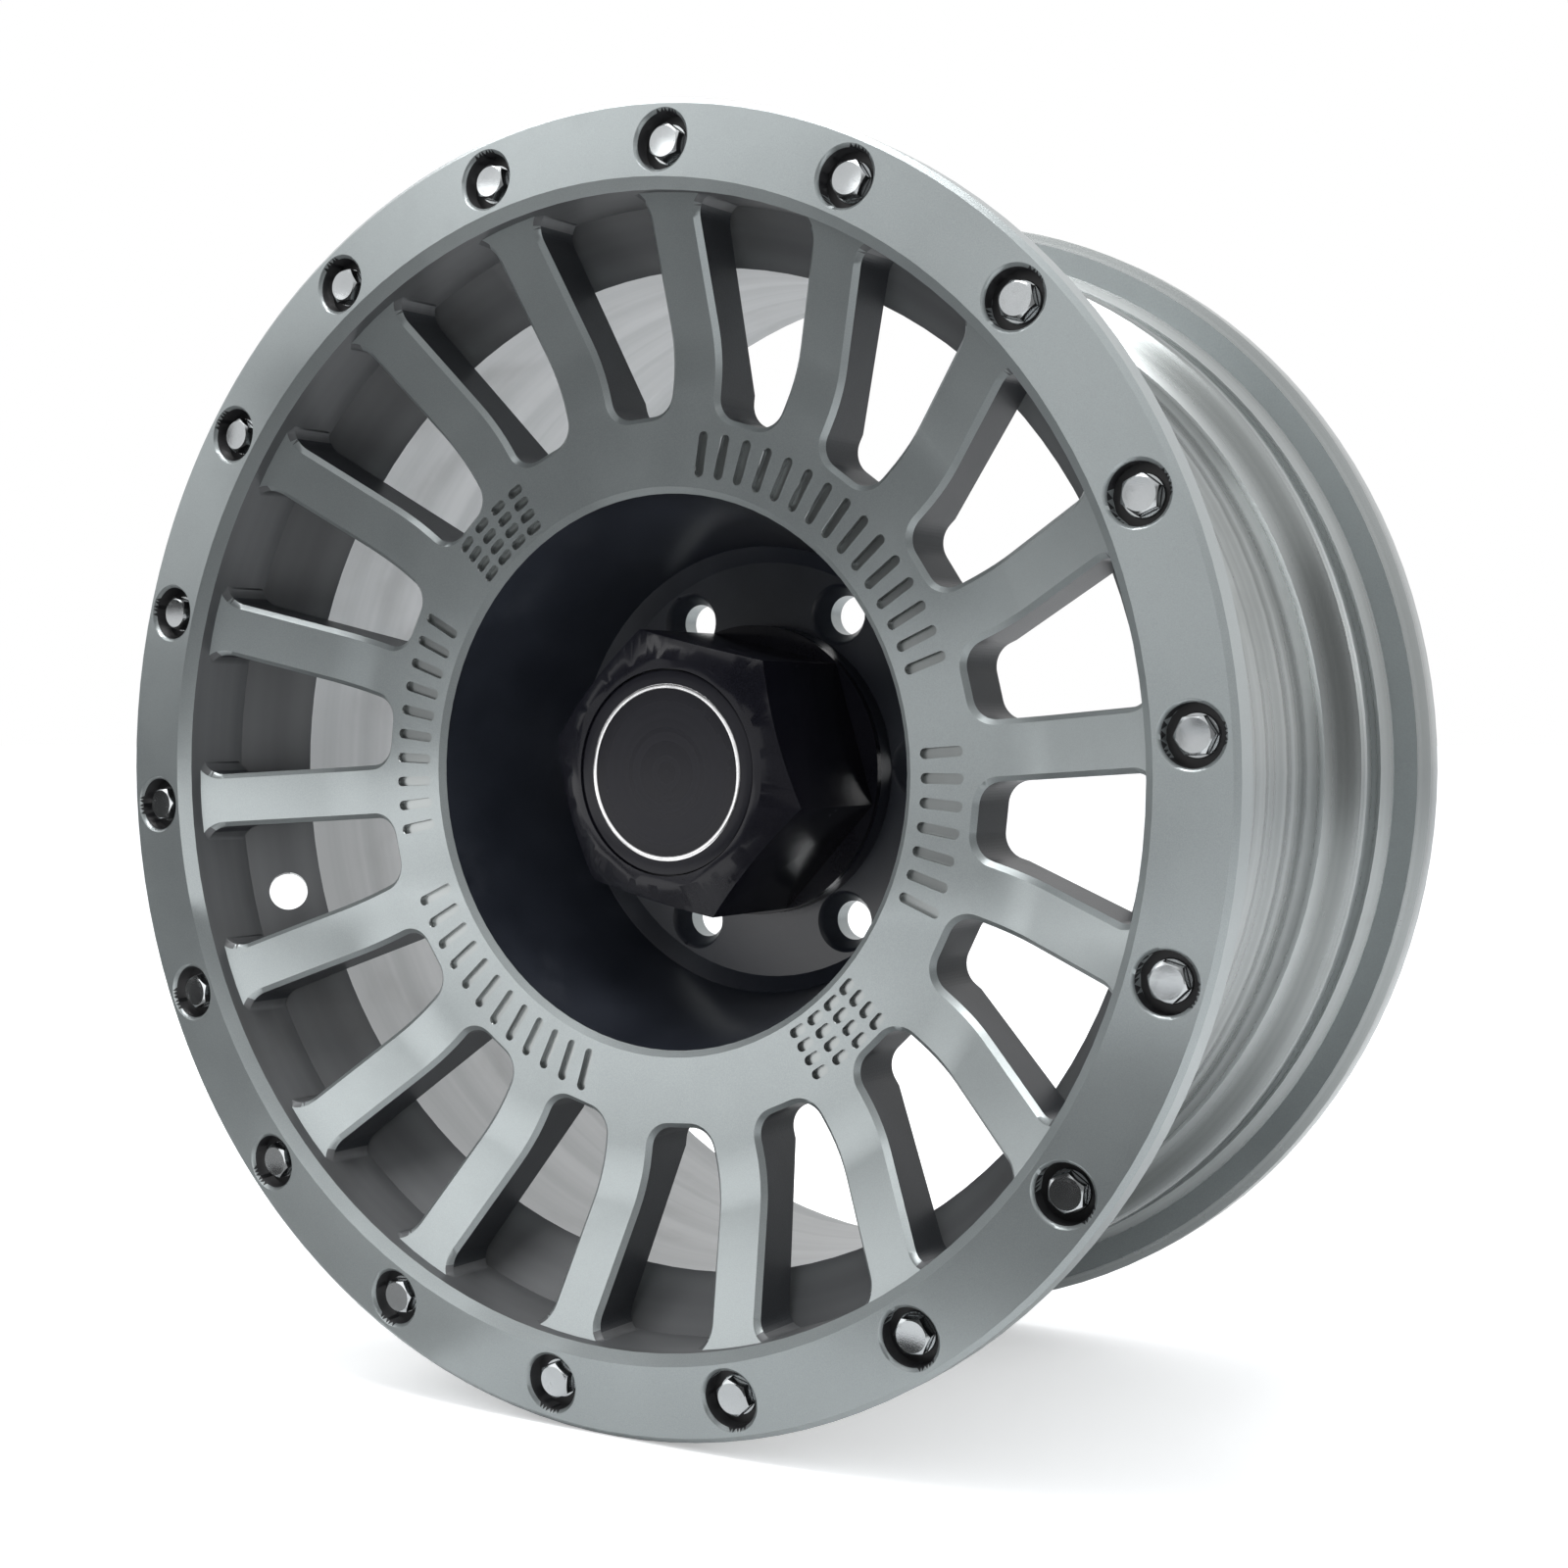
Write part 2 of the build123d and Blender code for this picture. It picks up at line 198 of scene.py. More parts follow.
def makeCard(name, place, aim, sizeX, sizeY, level):
    shape = bmesh.new()
    bmesh.ops.create_grid(shape, x_segments=1, y_segments=1, size=0.5)
    bmesh.ops.scale(shape, verts=shape.verts, vec=(sizeX, sizeY, 1.0))
    turn = (Vector(aim) - Vector(place)).to_track_quat("Z", "Y").to_matrix().to_4x4()
    bmesh.ops.transform(shape, verts=shape.verts, matrix=Matrix.Translation(place) @ turn)
    mesh = meshFrom(shape, name)
    shade = bpy.data.materials.new(name)
    nodes, links = bareNodes(shade)
    output = nodes.new("ShaderNodeOutputMaterial")
    even = nodes.new("ShaderNodeEmission")
    even.inputs["Strength"].default_value = level
    links.new(even.outputs[0], output.inputs["Surface"])
    mesh.materials.append(shade)
    card = newPiece(name, mesh)
    card.visible_camera = False
    card.visible_diffuse = False
    card.visible_shadow = False


def makeFloor(values):
    # White paper: its glow, seen by the camera alone, keeps it as light as the backdrop
    shape = bmesh.new()
    segments = values["segments"]
    bmesh.ops.create_circle(shape, cap_ends=True, radius=values["radius"], segments=segments)
    bmesh.ops.translate(shape, verts=shape.verts, vec=(0, 0, standZ))
    mesh = meshFrom(shape, "floor")
    floor = newPiece("floor", mesh)
    paper = bpy.data.materials.new("paperFloor")
    nodes, links = bareNodes(paper)
    output = nodes.new("ShaderNodeOutputMaterial")
    matte = nodes.new("ShaderNodeBsdfDiffuse")
    matte.inputs["Color"].default_value = (*values["color"], 1.0)
    glow = nodes.new("ShaderNodeEmission")
    path = nodes.new("ShaderNodeLightPath")
    level = nodes.new("ShaderNodeMath")
    level.operation = "MULTIPLY"
    level.inputs[1].default_value = values["glow"]
    both = nodes.new("ShaderNodeAddShader")
    links.new(path.outputs["Is Camera Ray"], level.inputs[0])
    links.new(level.outputs[0], glow.inputs["Strength"])
    links.new(matte.outputs[0], both.inputs[0])
    links.new(glow.outputs[0], both.inputs[1])
    links.new(both.outputs[0], output.inputs["Surface"])
    mesh.materials.append(paper)


makeWorld(lightSet)
for lamp in lightSet["lamps"]:
    makeLamp(*lamp)
for card in lightSet["cards"]:
    makeCard(*card)
makeFloor(floorSet)
print("studio lit")


# Shader groups shared by the finishes

groupSet = {
    "noiseLow": 0.34,
    "noiseHigh": 0.66,
    "fineDetail": 3.0,
    "broadDetail": 4.0,
    "fineShare": 0.35,
    "broadShare": 0.65,
    "turnedDetail": 2.0,
    "coarseDetail": 3.0,
    "coarsePitch": 0.12,
    "patchDetail": 6.0,
    "patchRough": 0.62,
    "patchEdge": 0.22,
    "bumpDistance": 0.0002,
}


def newGroup(name, inputs, outputs):
    group = bpy.data.node_groups.new(name, "ShaderNodeTree")
    for label, kind in inputs:
        group.interface.new_socket(label, in_out="INPUT", socket_type=kind)
    for label, kind in outputs:
        group.interface.new_socket(label, in_out="OUTPUT", socket_type=kind)
    start = group.nodes.new("NodeGroupInput")
    end = group.nodes.new("NodeGroupOutput")
    return group, group.nodes, group.links, start, end


def mathNode(nodes, operation, first=None, second=None):
    node = nodes.new("ShaderNodeMath")
    node.operation = operation
    if first is not None:
        node.inputs[0].default_value = first
    if second is not None:
        node.inputs[1].default_value = second
    return node


def spreadNode(nodes):
    # Noise keeps near its middle: this spreads it over 0 to 1
    node = nodes.new("ShaderNodeMapRange")
    node.inputs["From Min"].default_value = groupSet["noiseLow"]
    node.inputs["From Max"].default_value = groupSet["noiseHigh"]
    return node


def grainGroup():
    # Fine mottle of a sprayed or moulded skin: a height, and a shade from 0 to 1
    group, nodes, links, start, end = newGroup(
        "skinGrain",
        (("Place", "NodeSocketVector"), ("Grain", "NodeSocketFloat"), ("Cloud", "NodeSocketFloat")),
        (("Height", "NodeSocketFloat"), ("Shade", "NodeSocketFloat")),
    )
    fine = nodes.new("ShaderNodeTexNoise")
    fine.inputs["Detail"].default_value = groupSet["fineDetail"]
    broad = nodes.new("ShaderNodeTexNoise")
    broad.inputs["Detail"].default_value = groupSet["broadDetail"]
    links.new(start.outputs["Place"], fine.inputs["Vector"])
    links.new(start.outputs["Grain"], fine.inputs["Scale"])
    links.new(start.outputs["Place"], broad.inputs["Vector"])
    links.new(start.outputs["Cloud"], broad.inputs["Scale"])
    shareFine = mathNode(nodes, "MULTIPLY", second=groupSet["fineShare"])
    shareBroad = mathNode(nodes, "MULTIPLY", second=groupSet["broadShare"])
    total = mathNode(nodes, "ADD")
    links.new(fine.outputs["Fac"], shareFine.inputs[0])
    links.new(broad.outputs["Fac"], shareBroad.inputs[0])
    links.new(shareFine.outputs[0], total.inputs[0])
    links.new(shareBroad.outputs[0], total.inputs[1])
    spread = spreadNode(nodes)
    links.new(total.outputs[0], spread.inputs["Value"])
    links.new(fine.outputs["Fac"], end.inputs["Height"])
    links.new(spread.outputs["Result"], end.inputs["Shade"])
    return group


def turningGroup():
    # Lathe marks that run round the axle: they change with depth and, where faced, with radius
    group, nodes, links, start, end = newGroup(
        "turningMarks",
        (("Place", "NodeSocketVector"), ("Pitch", "NodeSocketFloat"), ("Faced", "NodeSocketFloat")),
        (("Height", "NodeSocketFloat"), ("Shade", "NodeSocketFloat")),
    )
    split = nodes.new("ShaderNodeSeparateXYZ")
    flat = nodes.new("ShaderNodeCombineXYZ")
    radius = nodes.new("ShaderNodeVectorMath")
    radius.operation = "LENGTH"
    line = nodes.new("ShaderNodeCombineXYZ")
    fine = nodes.new("ShaderNodeTexNoise")
    fine.inputs["Detail"].default_value = groupSet["turnedDetail"]
    coarse = nodes.new("ShaderNodeTexNoise")
    coarse.inputs["Detail"].default_value = groupSet["coarseDetail"]
    coarsePitch = mathNode(nodes, "MULTIPLY", second=groupSet["coarsePitch"])
    links.new(start.outputs["Place"], split.inputs[0])
    links.new(split.outputs["X"], flat.inputs["X"])
    links.new(split.outputs["Z"], flat.inputs["Z"])
    links.new(flat.outputs[0], radius.inputs[0])
    across = mathNode(nodes, "MULTIPLY")
    links.new(radius.outputs["Value"], across.inputs[0])
    links.new(start.outputs["Faced"], across.inputs[1])
    links.new(across.outputs[0], line.inputs["X"])
    links.new(split.outputs["Y"], line.inputs["Y"])
    links.new(line.outputs[0], fine.inputs["Vector"])
    links.new(line.outputs[0], coarse.inputs["Vector"])
    links.new(start.outputs["Pitch"], fine.inputs["Scale"])
    links.new(start.outputs["Pitch"], coarsePitch.inputs[0])
    links.new(coarsePitch.outputs[0], coarse.inputs["Scale"])
    spread = spreadNode(nodes)
    links.new(coarse.outputs["Fac"], spread.inputs["Value"])
    links.new(fine.outputs["Fac"], end.inputs["Height"])
    links.new(spread.outputs["Result"], end.inputs["Shade"])
    return group


def smudgeGroup():
    # Patches where a glossy or bare surface has dulled, from 0 to 1
    group, nodes, links, start, end = newGroup(
        "dullPatches",
        (("Place", "NodeSocketVector"), ("Size", "NodeSocketFloat"), ("Cover", "NodeSocketFloat")),
        (("Mask", "NodeSocketFloat"),),
    )
    cloud = nodes.new("ShaderNodeTexNoise")
    cloud.inputs["Detail"].default_value = groupSet["patchDetail"]
    cloud.inputs["Roughness"].default_value = groupSet["patchRough"]
    edge = nodes.new("ShaderNodeMapRange")
    edge.interpolation_type = "SMOOTHSTEP"
    top = mathNode(nodes, "ADD", second=groupSet["patchEdge"])
    links.new(start.outputs["Place"], cloud.inputs["Vector"])
    links.new(start.outputs["Size"], cloud.inputs["Scale"])
    links.new(cloud.outputs["Fac"], edge.inputs["Value"])
    links.new(start.outputs["Cover"], edge.inputs["From Min"])
    links.new(start.outputs["Cover"], top.inputs[0])
    links.new(top.outputs[0], edge.inputs["From Max"])
    links.new(edge.outputs["Result"], end.inputs["Mask"])
    return group


skinGrain = grainGroup()
turningMarks = turningGroup()
dullPatches = smudgeGroup()


def newFinish(name, values):
    # A material with its Principled shader, object coordinates, grain and dull patches wired in
    finish = bpy.data.materials.new(name)
    finish.use_nodes = True
    nodes = finish.node_tree.nodes
    links = finish.node_tree.links
    shader = nodes["Principled BSDF"]
    shader.inputs["Metallic"].default_value = values["metallic"]
    coords = nodes.new("ShaderNodeTexCoord")
    grain = nodes.new("ShaderNodeGroup")
    grain.node_tree = skinGrain
    grain.inputs["Grain"].default_value = values["grain"]
    grain.inputs["Cloud"].default_value = values["cloud"]
    patches = nodes.new("ShaderNodeGroup")
    patches.node_tree = dullPatches
    patches.inputs["Size"].default_value = values["patchSize"]
    patches.inputs["Cover"].default_value = values["patchCover"]
    links.new(coords.outputs["Object"], grain.inputs["Place"])
    links.new(coords.outputs["Object"], patches.inputs["Place"])
    shade = grain.outputs["Shade"]
    height = grain.outputs["Height"]
    if values.get("turned"):
        marks = nodes.new("ShaderNodeGroup")
        marks.node_tree = turningMarks
        marks.inputs["Pitch"].default_value = values["turned"]
        marks.inputs["Faced"].default_value = values.get("faced", 0.0)
        links.new(coords.outputs["Object"], marks.inputs["Place"])
        shade = marks.outputs["Shade"]
        height = marks.outputs["Height"]
    tone = nodes.new("ShaderNodeMix")
    tone.data_type = "RGBA"
    tone.inputs["A"].default_value = (*values["dark"], 1.0)
    tone.inputs["B"].default_value = (*values["light"], 1.0)
    links.new(shade, tone.inputs["Factor"])
    worn = nodes.new("ShaderNodeMix")
    worn.data_type = "RGBA"
    worn.inputs["B"].default_value = (*values["dull"], 1.0)
    share = mathNode(nodes, "MULTIPLY", second=values["dullShare"])
    links.new(patches.outputs["Mask"], share.inputs[0])
    links.new(share.outputs[0], worn.inputs["Factor"])
    links.new(tone.outputs["Result"], worn.inputs["A"])
    links.new(worn.outputs["Result"], shader.inputs["Base Color"])
    rough = nodes.new("ShaderNodeMapRange")
    rough.inputs["To Min"].default_value = values["smooth"]
    rough.inputs["To Max"].default_value = values["rough"]
    mixed = mathNode(nodes, "ADD")
    half = mathNode(nodes, "MULTIPLY", second=0.5)
    links.new(shade, mixed.inputs[0])
    links.new(patches.outputs["Mask"], mixed.inputs[1])
    links.new(mixed.outputs[0], half.inputs[0])
    links.new(half.outputs[0], rough.inputs["Value"])
    links.new(rough.outputs["Result"], shader.inputs["Roughness"])
    bump = nodes.new("ShaderNodeBump")
    bump.inputs["Strength"].default_value = values["bump"]
    bump.inputs["Distance"].default_value = groupSet["bumpDistance"]
    links.new(height, bump.inputs["Height"])
    links.new(bump.outputs["Normal"], shader.inputs["Normal"])
    shader.inputs["Specular IOR Level"].default_value = values.get("specular", 0.5)
    if values.get("coat"):
        shader.inputs["Coat Weight"].default_value = values["coat"]
        shader.inputs["Coat Roughness"].default_value = values["coatRough"]
    return finish


silverSet = {
    "metallic": 0.66,
    "dark": (0.27, 0.294, 0.298),
    "light": (0.37, 0.402, 0.406),
    "dull": (0.29, 0.315, 0.318),
    "dullShare": 0.35,
    "grain": 2600.0,
    "cloud": 9.0,
    "patchSize": 18.0,
    "patchCover": 0.5,
    "smooth": 0.29,
    "rough": 0.42,
    "bump": 0.12,
    "coat": 0.12,
    "coatRough": 0.2,
}
barrelSet = {
    "metallic": 0.9,
    "dark": (0.21, 0.224, 0.222),
    "light": (0.46, 0.482, 0.484),
    "dull": (0.23, 0.24, 0.23),
    "dullShare": 0.3,
    "grain": 1500.0,
    "cloud": 12.0,
    "patchSize": 12.0,
    "patchCover": 0.52,
    "smooth": 0.24,
    "rough": 0.40,
    "bump": 0.05,
    "turned": 900.0,
}
# Painted light: a lighter copy of the silver for the deeper inside of the barrel, standing in for the
# light that comes in through its open back
insidePaintedLightSet = {
    "metallic": 0.7,
    "dark": (0.34, 0.35, 0.355),
    "light": (0.50, 0.51, 0.515),
    "dull": (0.32, 0.315, 0.31),
    "dullShare": 0.3,
    "grain": 1800.0,
    "cloud": 11.0,
    "patchSize": 14.0,
    "patchCover": 0.48,
    "smooth": 0.36,
    "rough": 0.52,
    "bump": 0.16,
    "turned": 420.0,
}
# Painted shade: a dark copy of the silver for the ring's inner wall and the slope behind it, standing
# in for the shade that falls there
wallPaintedShadeSet = {
    "metallic": 0.5,
    "dark": (0.085, 0.088, 0.092),
    "light": (0.15, 0.155, 0.160),
    "dull": (0.11, 0.108, 0.104),
    "dullShare": 0.4,
    "grain": 1800.0,
    "cloud": 11.0,
    "patchSize": 16.0,
    "patchCover": 0.5,
    "smooth": 0.40,
    "rough": 0.56,
    "bump": 0.16,
    "turned": 420.0,
}
# Painted shade: near-black on the window walls, standing in for the shade inside the windows
windowPaintedShadeSet = {
    "metallic": 0.3,
    "dark": (0.022, 0.024, 0.028),
    "light": (0.052, 0.056, 0.062),
    "dull": (0.07, 0.072, 0.074),
    "dullShare": 0.3,
    "grain": 1800.0,
    "cloud": 20.0,
    "patchSize": 30.0,
    "patchCover": 0.55,
    "smooth": 0.36,
    "rough": 0.52,
    "bump": 0.2,
}
bowlSet = {
    "metallic": 0.0,
    "dark": (0.010, 0.012, 0.018),
    "light": (0.026, 0.030, 0.041),
    "dull": (0.050, 0.055, 0.066),
    "dullShare": 0.35,
    "grain": 2200.0,
    "cloud": 22.0,
    "patchSize": 26.0,
    "patchCover": 0.55,
    "smooth": 0.30,
    "rough": 0.48,
    "bump": 0.22,
    "coat": 0.2,
    "coatRough": 0.3,
}
# Black paint in the bolt pockets, made dark enough to stand in for the shade that falls in them too:
# partly painted shade
pocketShadeAndBlackSet = {
    "metallic": 0.0,
    "dark": (0.006, 0.006, 0.007),
    "light": (0.018, 0.018, 0.020),
    "dull": (0.05, 0.05, 0.05),
    "dullShare": 0.4,
    "grain": 2600.0,
    "cloud": 60.0,
    "patchSize": 90.0,
    "patchCover": 0.55,
    "smooth": 0.34,
    "rough": 0.6,
    "bump": 0.3,
}
# Painted shade: a dark finish on the floors and sides of the engraved slots, standing in for the shade
# in them
engravedPaintedShadeSet = {
    "metallic": 0.4,
    "dark": (0.020, 0.022, 0.022),
    "light": (0.07, 0.073, 0.073),
    "dull": (0.07, 0.074, 0.074),
    "dullShare": 0.4,
    "grain": 2400.0,
    "cloud": 120.0,
    "patchSize": 160.0,
    "patchCover": 0.5,
    "smooth": 0.4,
    "rough": 0.62,
    "bump": 0.35,
}
boltSet = {
    "metallic": 1.0,
    "dark": (0.42, 0.44, 0.45),
    "light": (0.52, 0.54, 0.55),
    "dull": (0.34, 0.35, 0.35),
    "dullShare": 0.3,
    "grain": 3200.0,
    "cloud": 60.0,
    "patchSize": 240.0,
    "patchCover": 0.54,
    "smooth": 0.12,
    "rough": 0.34,
    "bump": 0.12,
}
capSet = {
    "metallic": 0.0,
    "dark": (0.005, 0.005, 0.008),
    "light": (0.010, 0.010, 0.014),
    "dull": (0.025, 0.026, 0.032),
    "dullShare": 0.3,
    "grain": 1400.0,
    "cloud": 40.0,
    "patchSize": 60.0,
    "patchCover": 0.6,
    "smooth": 0.16,
    "rough": 0.38,
    "bump": 0.08,
    "specular": 0.2,
    "coat": 0.10,
    "coatRough": 0.08,
}
emblemSet = {
    "metallic": 0.0,
    "dark": (0.006, 0.006, 0.009),
    "light": (0.010, 0.010, 0.014),
    "dull": (0.022, 0.022, 0.027),
    "dullShare": 0.25,
    "grain": 2400.0,
    "cloud": 80.0,
    "patchSize": 70.0,
    "patchCover": 0.56,
    "smooth": 0.22,
    "rough": 0.42,
    "bump": 0.10,
    "specular": 0.2,
    "turned": 1800.0,
    "faced": 1.0,
}
trimSet = {
    "metallic": 1.0,
    "dark": (0.62, 0.62, 0.63),
    "light": (0.85, 0.85, 0.86),
    "dull": (0.5, 0.5, 0.5),
    "dullShare": 0.3,
    "grain": 3000.0,
    "cloud": 200.0,
    "patchSize": 150.0,
    "patchCover": 0.55,
    "smooth": 0.18,
    "rough": 0.36,
    "bump": 0.08,
}
springSet = {
    "metallic": 1.0,
    "dark": (0.30, 0.30, 0.31),
    "light": (0.48, 0.48, 0.49),
    "dull": (0.20, 0.19, 0.18),
    "dullShare": 0.5,
    "grain": 2600.0,
    "cloud": 120.0,
    "patchSize": 140.0,
    "patchCover": 0.5,
    "smooth": 0.25,
    "rough": 0.45,
    "bump": 0.15,
    "turned": 2200.0,
    "faced": 1.0,
}

satinSilver = newFinish("satinSilver", silverSet)
barrelSilver = newFinish("barrelSilver", barrelSet)
# The deeper inside of the barrel: painted light
insidePaintedLightSilver = newFinish("insidePaintedLightSilver", insidePaintedLightSet)
# The ring's inner wall and slope: painted shade
wallPaintedShade = newFinish("wallPaintedShade", wallPaintedShadeSet)
# The window walls: painted shade
windowPaintedShade = newFinish("windowPaintedShade", windowPaintedShadeSet)
bowlBlack = newFinish("bowlBlack", bowlSet)
# The bolt pockets: black paint and painted shade
pocketShadeAndBlack = newFinish("pocketShadeAndBlack", pocketShadeAndBlackSet)
# The engraved slots: painted shade
engravedPaintedShade = newFinish("engravedPaintedShade", engravedPaintedShadeSet)
boltPlate = newFinish("boltPlate", boltSet)
capGloss = newFinish("capGloss", capSet)
emblemSatin = newFinish("emblemSatin", emblemSet)
trimBright = newFinish("trimBright", trimSet)
springSteel = newFinish("springSteel", springSet)
print("finishes made")


# Mesh helpers

mergeDistance = 2e-6
poleDistance = 1e-6


def mergedCopy(node, name):
    # A node's own mesh, with its loose triangles joined
    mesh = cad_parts[node].data.copy()
    mesh.name = name
    shape = bmesh.new()
    shape.from_mesh(mesh)
    bmesh.ops.remove_doubles(shape, verts=shape.verts, dist=mergeDistance)
    shape.to_mesh(mesh)
    shape.free()
    mesh.materials.clear()
    return mesh


def shadeByAngle(mesh, degrees):
    for face in mesh.polygons:
        face.use_smooth = True
    mesh.set_sharp_from_angle(angle=math.radians(degrees))


def plainMesh(piece, name):
    # The piece with its modifiers worked in, as a mesh of its own
    graph = bpy.context.evaluated_depsgraph_get()
    mesh = bpy.data.meshes.new_from_object(piece.evaluated_get(graph))
    mesh.name = name
    return mesh


def roundTree():
    # Geometry nodes that set copies of a piece round the axle
    tree = bpy.data.node_groups.new("setRoundAxle", "GeometryNodeTree")
    face = tree.interface
    face.new_socket("Geometry", in_out="INPUT", socket_type="NodeSocketGeometry")
    face.new_socket("Piece", in_out="INPUT", socket_type="NodeSocketObject")
    face.new_socket("Count", in_out="INPUT", socket_type="NodeSocketInt")
    face.new_socket("First Angle", in_out="INPUT", socket_type="NodeSocketFloat")
    face.new_socket("Step Angle", in_out="INPUT", socket_type="NodeSocketFloat")
    face.new_socket("Finish", in_out="INPUT", socket_type="NodeSocketMaterial")
    face.new_socket("Geometry", in_out="OUTPUT", socket_type="NodeSocketGeometry")
    nodes = tree.nodes
    links = tree.links
    start = nodes.new("NodeGroupInput")
    end = nodes.new("NodeGroupOutput")
    line = nodes.new("GeometryNodeMeshLine")
    line.inputs["Offset"].default_value = (0.0, 0.0, 0.0)
    index = nodes.new("GeometryNodeInputIndex")
    along = mathNode(nodes, "MULTIPLY")
    angle = mathNode(nodes, "ADD")
    spin = nodes.new("ShaderNodeCombineXYZ")
    turn = nodes.new("FunctionNodeEulerToRotation")
    info = nodes.new("GeometryNodeObjectInfo")
    place = nodes.new("GeometryNodeInstanceOnPoints")
    solid = nodes.new("GeometryNodeRealizeInstances")
    paint = nodes.new("GeometryNodeSetMaterial")
    links.new(start.outputs["Count"], line.inputs["Count"])
    links.new(index.outputs[0], along.inputs[0])
    links.new(start.outputs["Step Angle"], along.inputs[1])
    links.new(along.outputs[0], angle.inputs[0])
    links.new(start.outputs["First Angle"], angle.inputs[1])
    links.new(angle.outputs[0], spin.inputs["Y"])
    links.new(spin.outputs[0], turn.inputs[0])
    links.new(start.outputs["Piece"], info.inputs["Object"])
    links.new(line.outputs[0], place.inputs["Points"])
    links.new(info.outputs["Geometry"], place.inputs["Instance"])
    links.new(turn.outputs[0], place.inputs["Rotation"])
    links.new(place.outputs[0], solid.inputs[0])
    links.new(solid.outputs[0], paint.inputs["Geometry"])
    links.new(start.outputs["Finish"], paint.inputs["Material"])
    links.new(paint.outputs[0], end.inputs[0])
    return tree


setRoundAxle = roundTree()


def setRound(name, mesh, count, firstAngle, stepAngle, finish):
    # Copies of a mesh at clock angles in degrees, from +Z towards +X
    source = newPiece(name + "One", mesh)
    holder = newPiece(name + "All", bpy.data.meshes.new(name + "All"))
    repeat = holder.modifiers.new("repeat", "NODES")
    repeat.node_group = setRoundAxle
    values = {
        "Piece": source,
        "Count": count,
        "First Angle": math.radians(firstAngle),
        "Step Angle": math.radians(stepAngle),
        "Finish": finish,
    }
    for item in setRoundAxle.interface.items_tree:
        if item.in_out == "INPUT" and item.name in values:
            repeat[item.identifier] = values[item.name]
    result = plainMesh(holder, name)
    bpy.data.objects.remove(holder)
    bpy.data.objects.remove(source)
    return result


def joined(meshes, name):
    shape = bmesh.new()
    for mesh in meshes:
        shape.from_mesh(mesh)
    return meshFrom(shape, name)


# Wheel: the casting with its engraved hub face, painted by zones

hubSet = {
    "faceDepth": 36.7,
    "slotDepth": 2.2,
    "cutterRise": 2.0,
    "endSteps": 8,
    "slotRadius": 119.5,
    "slotLength": 17.0,
    "slotWidth": 3.8,
    "slotStep": 4.4,
    "arcs": ((9.0, 75.0), (86.0, 116.0), (197.0, 248.0), (259.0, 300.0)),
    "gridAngles": (321.0, 140.0),
    "gridRadii": (111.0, 116.7, 122.4, 128.1),
    "gridCount": 4,
    "gridStep": 4.6,
    "gridSlotLength": 7.4,
    "gridSlotWidth": 3.6,
}


def slotCutter(length, width, radius, values, across):
    # A round-ended cutter at clock angle 0, long outwards or, for the grids, across
    half = width / 2
    run = (length - width) / 2
    steps = values["endSteps"]
    corners = []
    for side in (1, -1):
        for step in range(steps + 1):
            turn = math.radians(-90 + 180 * step / steps)
            along = side * (run + half * math.cos(turn))
            beside = side * half * math.sin(turn)
            corners.append((along, beside))
    shape = bmesh.new()
    rings = []
    top = values["faceDepth"] - values["cutterRise"]
    bottom = values["faceDepth"] + values["slotDepth"]
    for depth in (top, bottom):
        ring = []
        for along, beside in corners:
            x, z = (along, beside) if across else (beside, along)
            ring.append(shape.verts.new((x * mm, frontY + depth * mm, (radius + z) * mm)))
        rings.append(ring)
    shape.faces.new(rings[0])
    shape.faces.new(list(reversed(rings[1])))
    for step in range(len(corners)):
        after = (step + 1) % len(corners)
        shape.faces.new((rings[0][step], rings[1][step], rings[1][after], rings[0][after]))
    bmesh.ops.recalc_face_normals(shape, faces=shape.faces)
    return meshFrom(shape, "slotCutter")


def hubEngraving(values):
    # Bars along arcs and two grids of short slots, as one cutter; its dark finish, carried onto the cut
    # faces, is painted shade in the slots
    cutters = []
    gridCount = values["gridCount"]
    gridStep = values["gridStep"]
    for first, last in values["arcs"]:
        count = int((last - first) / values["slotStep"]) + 1
        bar = slotCutter(values["slotLength"], values["slotWidth"], values["slotRadius"], values, False)
        cutters.append(setRound("hubBars", bar, count, first, values["slotStep"], engravedPaintedShade))
    for middle in values["gridAngles"]:
        first = middle - gridStep * (gridCount - 1) / 2
        for radius in values["gridRadii"]:
            slot = slotCutter(values["gridSlotLength"], values["gridSlotWidth"], radius, values, True)
            cutters.append(setRound("hubGrid", slot, gridCount, first, gridStep, engravedPaintedShade))
    mesh = joined(cutters, "hubEngraving")
    mesh.materials.append(engravedPaintedShade)
    return newPiece("hubEngraving", mesh)


# Where the lip bolts and their pockets stand: count, first clock angle, radius

boltPlaces = {"count": 18, "clock": 6.3, "circle": 227.0}

# Zones of the casting: radii and depths in millimetres, and parts of the face normal

zoneSet = {
    "pocketRadius": 10.8,
    "pocketTop": 2.9,
    "pocketFloor": 11.0,
    "lipDepth": 16.9,
    "bowlRadius": 105.0,
    "bowlTop": 38.5,
    "bowlEnd": 121.0,
    "bowlInward": 0.3,
    "bowlFacing": 0.5,
    "floorRadius": 88.0,
    "barrelRadius": 185.0,
    "barrelOutward": 0.15,
    "wallRadius": 186.0,
    "wallTop": 5.0,
    "wallInward": 0.6,
    "insideTop": 52.0,
    "insideInward": 0.05,
    "windowInner": 126.0,
    "windowTop": 11.0,
    "windowEnd": 64.0,
    "windowFacing": 0.3,
}

